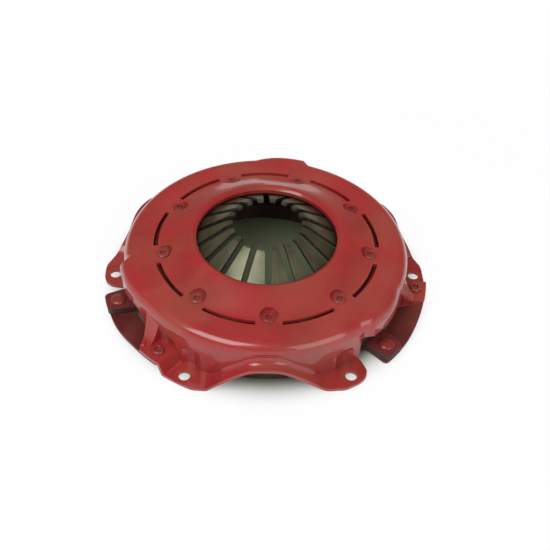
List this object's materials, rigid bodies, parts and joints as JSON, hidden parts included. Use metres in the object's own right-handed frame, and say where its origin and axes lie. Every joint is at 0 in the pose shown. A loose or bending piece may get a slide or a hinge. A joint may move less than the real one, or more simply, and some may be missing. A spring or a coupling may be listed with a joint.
{
  "type": "clutch pressure plate",
  "caption": "Round diaphragm clutch cover assembly: red stamped cover with bolting feet, arc slots and strap pads, bent-up release fingers, and a lugged cast pressure plate inside.",
  "frame": {"origin": "centre of the bolt circle, on the underside of the six feet of the cover", "axes": "+Z along the clutch axis, from the flywheel side towards the release bearing; -Y is the middle of the arch that faces the viewer"},
  "size_m": [0.3114, 0.2983, 0.0708],
  "materials": {
    "red_paint": "gloss",
    "painted_rivet": "gloss",
    "painted_strap": "satin",
    "cast_iron": "matte",
    "spring_steel": "satin",
    "wire_steel": "satin"
  },
  "bodies": {
    "cover_assembly": {"cover": "red_paint", "upper_pivot_ring": "wire_steel", "lower_pivot_ring": "wire_steel", "shoulder_rivets": "painted_rivet", "strap_cover_rivets": "painted_rivet", "drive_strap_1_leaf_1": "painted_strap", "drive_strap_1_leaf_2": "painted_strap", "drive_strap_1_leaf_3": "painted_strap", "drive_strap_2_leaf_1": "painted_strap", "drive_strap_2_leaf_2": "painted_strap", "drive_strap_2_leaf_3": "painted_strap", "drive_strap_3_leaf_1": "painted_strap", "drive_strap_3_leaf_2": "painted_strap", "drive_strap_3_leaf_3": "painted_strap"},
    "plate": {"pressure_plate": "cast_iron", "strap_lug_rivets": "painted_rivet"},
    "finger_01": {"diaphragm_finger_01": "spring_steel"},
    "finger_02": {"diaphragm_finger_02": "spring_steel"},
    "finger_03": {"diaphragm_finger_03": "spring_steel"},
    "finger_04": {"diaphragm_finger_04": "spring_steel"},
    "finger_05": {"diaphragm_finger_05": "spring_steel"},
    "finger_06": {"diaphragm_finger_06": "spring_steel"},
    "finger_07": {"diaphragm_finger_07": "spring_steel"},
    "finger_08": {"diaphragm_finger_08": "spring_steel"},
    "finger_09": {"diaphragm_finger_09": "spring_steel"},
    "finger_10": {"diaphragm_finger_10": "spring_steel"},
    "finger_11": {"diaphragm_finger_11": "spring_steel"},
    "finger_12": {"diaphragm_finger_12": "spring_steel"},
    "finger_13": {"diaphragm_finger_13": "spring_steel"},
    "finger_14": {"diaphragm_finger_14": "spring_steel"},
    "finger_15": {"diaphragm_finger_15": "spring_steel"},
    "finger_16": {"diaphragm_finger_16": "spring_steel"},
    "finger_17": {"diaphragm_finger_17": "spring_steel"},
    "finger_18": {"diaphragm_finger_18": "spring_steel"}
  },
  "joints": [
    {"name": "plate_lift", "type": "slide", "parent": "cover_assembly", "child": "plate", "axis": [0, 0, 1], "range_m": [0, 0.008], "stiffness_N_per_m": 5000, "springref_m": -0.004, "deforming": ["drive_strap_1_leaf_1", "drive_strap_1_leaf_2", "drive_strap_1_leaf_3", "drive_strap_2_leaf_1", "drive_strap_2_leaf_2", "drive_strap_2_leaf_3", "drive_strap_3_leaf_1", "drive_strap_3_leaf_2", "drive_strap_3_leaf_3"]},
    {"name": "finger_01_pivot", "type": "hinge", "parent": "cover_assembly", "child": "finger_01", "pos_m": [0.01797, -0.10193, 0.03685], "axis": [-0.9848, -0.1736, 0], "range_deg": [0, 24.3]},
    {"name": "finger_02_pivot", "type": "hinge", "parent": "cover_assembly", "child": "finger_02", "pos_m": [0.05175, -0.08963, 0.03685], "axis": [-0.866, -0.5, 0], "range_deg": [0, 24.3]},
    {"name": "finger_03_pivot", "type": "hinge", "parent": "cover_assembly", "child": "finger_03", "pos_m": [0.07929, -0.06653, 0.03685], "axis": [-0.6428, -0.766, 0], "range_deg": [0, 24.3]},
    {"name": "finger_04_pivot", "type": "hinge", "parent": "cover_assembly", "child": "finger_04", "pos_m": [0.09726, -0.0354, 0.03685], "axis": [-0.342, -0.9397, 0], "range_deg": [0, 24.3]},
    {"name": "finger_05_pivot", "type": "hinge", "parent": "cover_assembly", "child": "finger_05", "pos_m": [0.1035, 0, 0.03685], "axis": [0, -1, 0], "range_deg": [0, 24.3]},
    {"name": "finger_06_pivot", "type": "hinge", "parent": "cover_assembly", "child": "finger_06", "pos_m": [0.09726, 0.0354, 0.03685], "axis": [0.342, -0.9397, 0], "range_deg": [0, 24.3]},
    {"name": "finger_07_pivot", "type": "hinge", "parent": "cover_assembly", "child": "finger_07", "pos_m": [0.07929, 0.06653, 0.03685], "axis": [0.6428, -0.766, 0], "range_deg": [0, 24.3]},
    {"name": "finger_08_pivot", "type": "hinge", "parent": "cover_assembly", "child": "finger_08", "pos_m": [0.05175, 0.08963, 0.03685], "axis": [0.866, -0.5, 0], "range_deg": [0, 24.3]},
    {"name": "finger_09_pivot", "type": "hinge", "parent": "cover_assembly", "child": "finger_09", "pos_m": [0.01797, 0.10193, 0.03685], "axis": [0.9848, -0.1736, 0], "range_deg": [0, 24.3]},
    {"name": "finger_10_pivot", "type": "hinge", "parent": "cover_assembly", "child": "finger_10", "pos_m": [-0.01797, 0.10193, 0.03685], "axis": [0.9848, 0.1736, 0], "range_deg": [0, 24.3]},
    {"name": "finger_11_pivot", "type": "hinge", "parent": "cover_assembly", "child": "finger_11", "pos_m": [-0.05175, 0.08963, 0.03685], "axis": [0.866, 0.5, 0], "range_deg": [0, 24.3]},
    {"name": "finger_12_pivot", "type": "hinge", "parent": "cover_assembly", "child": "finger_12", "pos_m": [-0.07929, 0.06653, 0.03685], "axis": [0.6428, 0.766, 0], "range_deg": [0, 24.3]},
    {"name": "finger_13_pivot", "type": "hinge", "parent": "cover_assembly", "child": "finger_13", "pos_m": [-0.09726, 0.0354, 0.03685], "axis": [0.342, 0.9397, 0], "range_deg": [0, 24.3]},
    {"name": "finger_14_pivot", "type": "hinge", "parent": "cover_assembly", "child": "finger_14", "pos_m": [-0.1035, 0, 0.03685], "axis": [0, 1, 0], "range_deg": [0, 24.3]},
    {"name": "finger_15_pivot", "type": "hinge", "parent": "cover_assembly", "child": "finger_15", "pos_m": [-0.09726, -0.0354, 0.03685], "axis": [-0.342, 0.9397, 0], "range_deg": [0, 24.3]},
    {"name": "finger_16_pivot", "type": "hinge", "parent": "cover_assembly", "child": "finger_16", "pos_m": [-0.07929, -0.06653, 0.03685], "axis": [-0.6428, 0.766, 0], "range_deg": [0, 24.3]},
    {"name": "finger_17_pivot", "type": "hinge", "parent": "cover_assembly", "child": "finger_17", "pos_m": [-0.05175, -0.08963, 0.03685], "axis": [-0.866, 0.5, 0], "range_deg": [0, 24.3]},
    {"name": "finger_18_pivot", "type": "hinge", "parent": "cover_assembly", "child": "finger_18", "pos_m": [-0.01797, -0.10193, 0.03685], "axis": [-0.9848, 0.1736, 0], "range_deg": [0, 24.3]}
  ],
  "couplings": [
    {"joint": "finger_01_pivot", "follows": "plate_lift", "rad_per_m": 52.632},
    {"joint": "finger_02_pivot", "follows": "plate_lift", "rad_per_m": 52.632},
    {"joint": "finger_03_pivot", "follows": "plate_lift", "rad_per_m": 52.632},
    {"joint": "finger_04_pivot", "follows": "plate_lift", "rad_per_m": 52.632},
    {"joint": "finger_05_pivot", "follows": "plate_lift", "rad_per_m": 52.632},
    {"joint": "finger_06_pivot", "follows": "plate_lift", "rad_per_m": 52.632},
    {"joint": "finger_07_pivot", "follows": "plate_lift", "rad_per_m": 52.632},
    {"joint": "finger_08_pivot", "follows": "plate_lift", "rad_per_m": 52.632},
    {"joint": "finger_09_pivot", "follows": "plate_lift", "rad_per_m": 52.632},
    {"joint": "finger_10_pivot", "follows": "plate_lift", "rad_per_m": 52.632},
    {"joint": "finger_11_pivot", "follows": "plate_lift", "rad_per_m": 52.632},
    {"joint": "finger_12_pivot", "follows": "plate_lift", "rad_per_m": 52.632},
    {"joint": "finger_13_pivot", "follows": "plate_lift", "rad_per_m": 52.632},
    {"joint": "finger_14_pivot", "follows": "plate_lift", "rad_per_m": 52.632},
    {"joint": "finger_15_pivot", "follows": "plate_lift", "rad_per_m": 52.632},
    {"joint": "finger_16_pivot", "follows": "plate_lift", "rad_per_m": 52.632},
    {"joint": "finger_17_pivot", "follows": "plate_lift", "rad_per_m": 52.632},
    {"joint": "finger_18_pivot", "follows": "plate_lift", "rad_per_m": 52.632}
  ]
}
